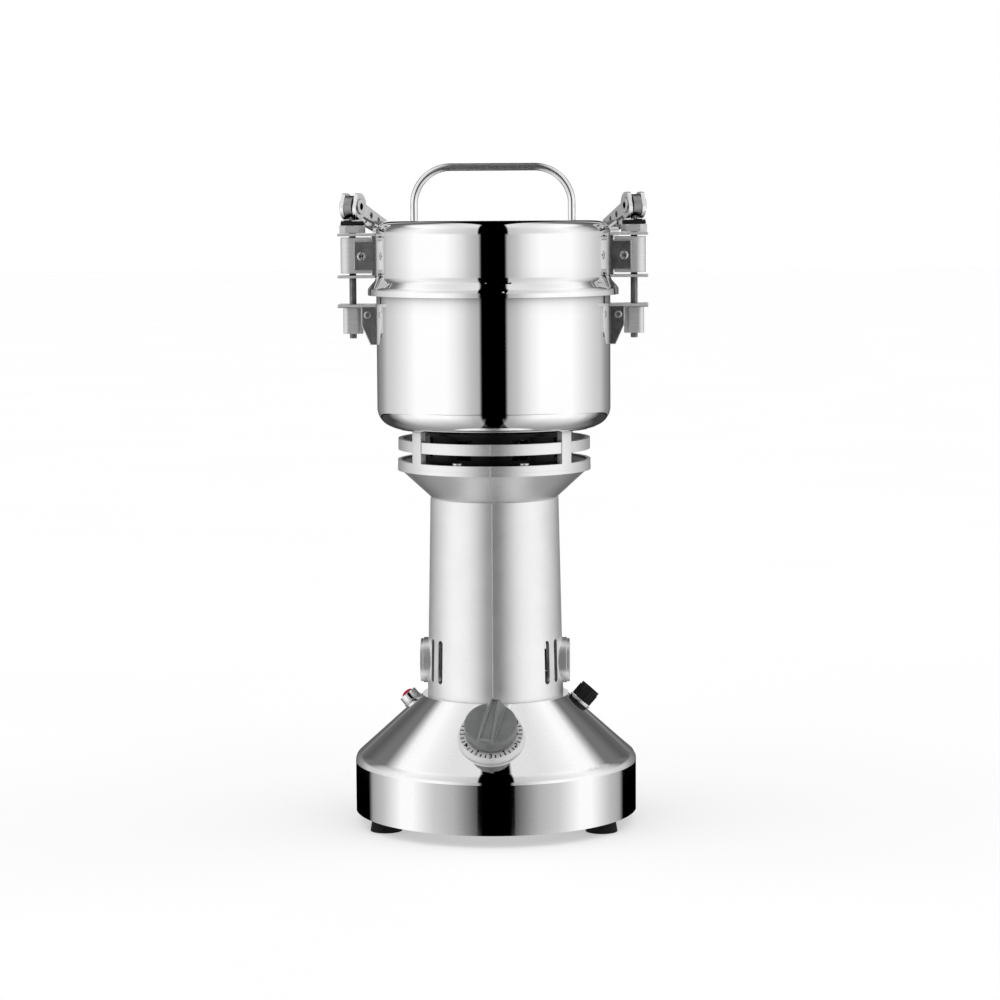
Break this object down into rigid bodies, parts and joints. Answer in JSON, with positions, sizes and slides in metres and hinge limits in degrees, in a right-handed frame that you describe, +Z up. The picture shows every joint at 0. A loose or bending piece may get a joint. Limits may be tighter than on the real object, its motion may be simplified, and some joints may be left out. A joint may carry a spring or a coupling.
{
  "type": "electric grinder chopper",
  "caption": "Upright electric grinder: polished steel bowl with a clamped lid and wire handle on a cast motor column over a conical steel base with a timer knob, push button and fuse cap.",
  "frame": {"origin": "on the motor axis, at the level the feet stand on", "axes": "+Z up along the motor axis, -Y towards the timer dial at the front, +X towards the fuse cap"},
  "size_m": [0.1848, 0.1715, 0.3953],
  "materials": {
    "polished_steel": "mirror polished stainless steel",
    "brushed_steel": "brushed stainless steel",
    "cast_alloy": "satin cast alloy",
    "plated_steel": "plated steel",
    "bright_plate": "chrome plate",
    "tool_steel": "ground blade steel",
    "core_steel": "varnished core steel",
    "copper": "copper",
    "carbon": "carbon",
    "spring_steel": "spring steel",
    "dial_silver": "silver lacquer",
    "grey_plastic": "satin grey",
    "red_plastic": "gloss red",
    "black_plastic": "black",
    "black_rubber": "black rubber",
    "seal_silicone": "silicone",
    "fuse_glass": "clear"
  },
  "bodies": {
    "base": {"base_shell": "brushed_steel", "base_plate": "brushed_steel", "rubber_feet": "black_rubber", "base_screws": "plated_steel", "cord_bush": "black_rubber", "housing_left": "cast_alloy", "housing_right": "cast_alloy", "housing_screws": "plated_steel", "brush_caps": "cast_alloy", "brush_holders": "black_plastic", "carbon_brushes": "carbon", "brush_springs": "spring_steel", "stator_core": "core_steel", "field_coils": "copper", "lower_bearing_bridge": "cast_alloy", "lower_bearing": "tool_steel", "bearing_plate": "black_plastic", "upper_bearing": "tool_steel", "bowl": "polished_steel", "bowl_screws": "plated_steel", "shaft_seal": "black_rubber", "catch_bracket_left": "plated_steel", "catch_bracket_right": "plated_steel", "timer_dial": "dial_silver", "timer_body": "black_plastic", "button_bezel": "bright_plate", "overload_switch": "black_plastic", "fuse_washer": "plated_steel", "fuse_holder": "black_plastic", "fuse_link": "fuse_glass"},
    "rotor": {"motor_shaft": "tool_steel", "armature": "core_steel", "commutator": "copper", "cooling_fan": "black_plastic", "blade_spacers": "tool_steel", "lower_blade": "tool_steel", "upper_blade": "tool_steel", "blade_nut": "tool_steel"},
    "lid": {"lid_shell": "polished_steel", "lid_seal": "seal_silicone", "lid_handle": "polished_steel", "clamp_bracket_left": "plated_steel", "clamp_bracket_right": "plated_steel", "clamp_block_left": "plated_steel", "clamp_block_right": "plated_steel", "clamp_screws": "plated_steel"},
    "seat_left": {"cam_seat_left": "plated_steel"},
    "seat_right": {"cam_seat_right": "plated_steel"},
    "bolt_left": {"draw_bolt_left": "plated_steel", "turned_nut_left": "plated_steel"},
    "bolt_right": {"draw_bolt_right": "plated_steel", "turned_nut_right": "plated_steel"},
    "lever_left": {"cam_lever_left": "plated_steel", "lever_pin_left": "plated_steel"},
    "lever_right": {"cam_lever_right": "plated_steel", "lever_pin_right": "plated_steel"},
    "knob": {"timer_knob": "grey_plastic", "timer_spindle": "tool_steel"},
    "button": {"push_button": "red_plastic"},
    "fuse_top": {"fuse_cap": "black_plastic"}
  },
  "joints": [
    {"name": "rotor_spin", "type": "hinge", "parent": "base", "child": "rotor", "pos_m": [0, 0, 0.25], "axis": [0, 0, 1], "continuous": true},
    {"name": "lid_lift", "type": "slide", "parent": "base", "child": "lid", "axis": [0, 0, 1], "range_m": [0, 0.08]},
    {"name": "left_clamp_turn", "type": "hinge", "parent": "lid", "child": "seat_left", "pos_m": [-0.084, 0, 0.34], "axis": [0, 0, 1], "range_deg": [0, 90]},
    {"name": "left_bolt_draw", "type": "slide", "parent": "seat_left", "child": "bolt_left", "axis": [0, 0, -1], "range_m": [0, 0.0025]},
    {"name": "left_cam_lever", "type": "hinge", "parent": "bolt_left", "child": "lever_left", "pos_m": [-0.084, 0, 0.37], "axis": [0.9272, -0.3746, 0], "range_deg": [0, 110]},
    {"name": "right_clamp_turn", "type": "hinge", "parent": "lid", "child": "seat_right", "pos_m": [0.084, 0, 0.34], "axis": [0, 0, -1], "range_deg": [0, 90]},
    {"name": "right_bolt_draw", "type": "slide", "parent": "seat_right", "child": "bolt_right", "axis": [0, 0, -1], "range_m": [0, 0.0025]},
    {"name": "right_cam_lever", "type": "hinge", "parent": "bolt_right", "child": "lever_right", "pos_m": [0.084, 0, 0.37], "axis": [0.9272, 0.3746, 0], "range_deg": [0, 110]},
    {"name": "timer_turn", "type": "hinge", "parent": "base", "child": "knob", "pos_m": [0, -0.06488, 0.06373], "axis": [0, 0.6698, -0.7426], "range_deg": [0, 290]},
    {"name": "button_press", "type": "slide", "parent": "base", "child": "button", "axis": [0.6526, -0.1507, -0.7426], "range_m": [0, 0.0015], "stiffness_N_per_m": 400},
    {"name": "fuse_turn", "type": "hinge", "parent": "base", "child": "fuse_top", "pos_m": [0.05067, 0.0117, 0.06996], "axis": [0.6526, 0.1507, 0.7426], "range_deg": [0, 60]}
  ],
  "couplings": [
    {"joint": "left_bolt_draw", "follows": "left_cam_lever", "m_per_rad": 0.001302},
    {"joint": "right_bolt_draw", "follows": "right_cam_lever", "m_per_rad": 0.001302}
  ]
}
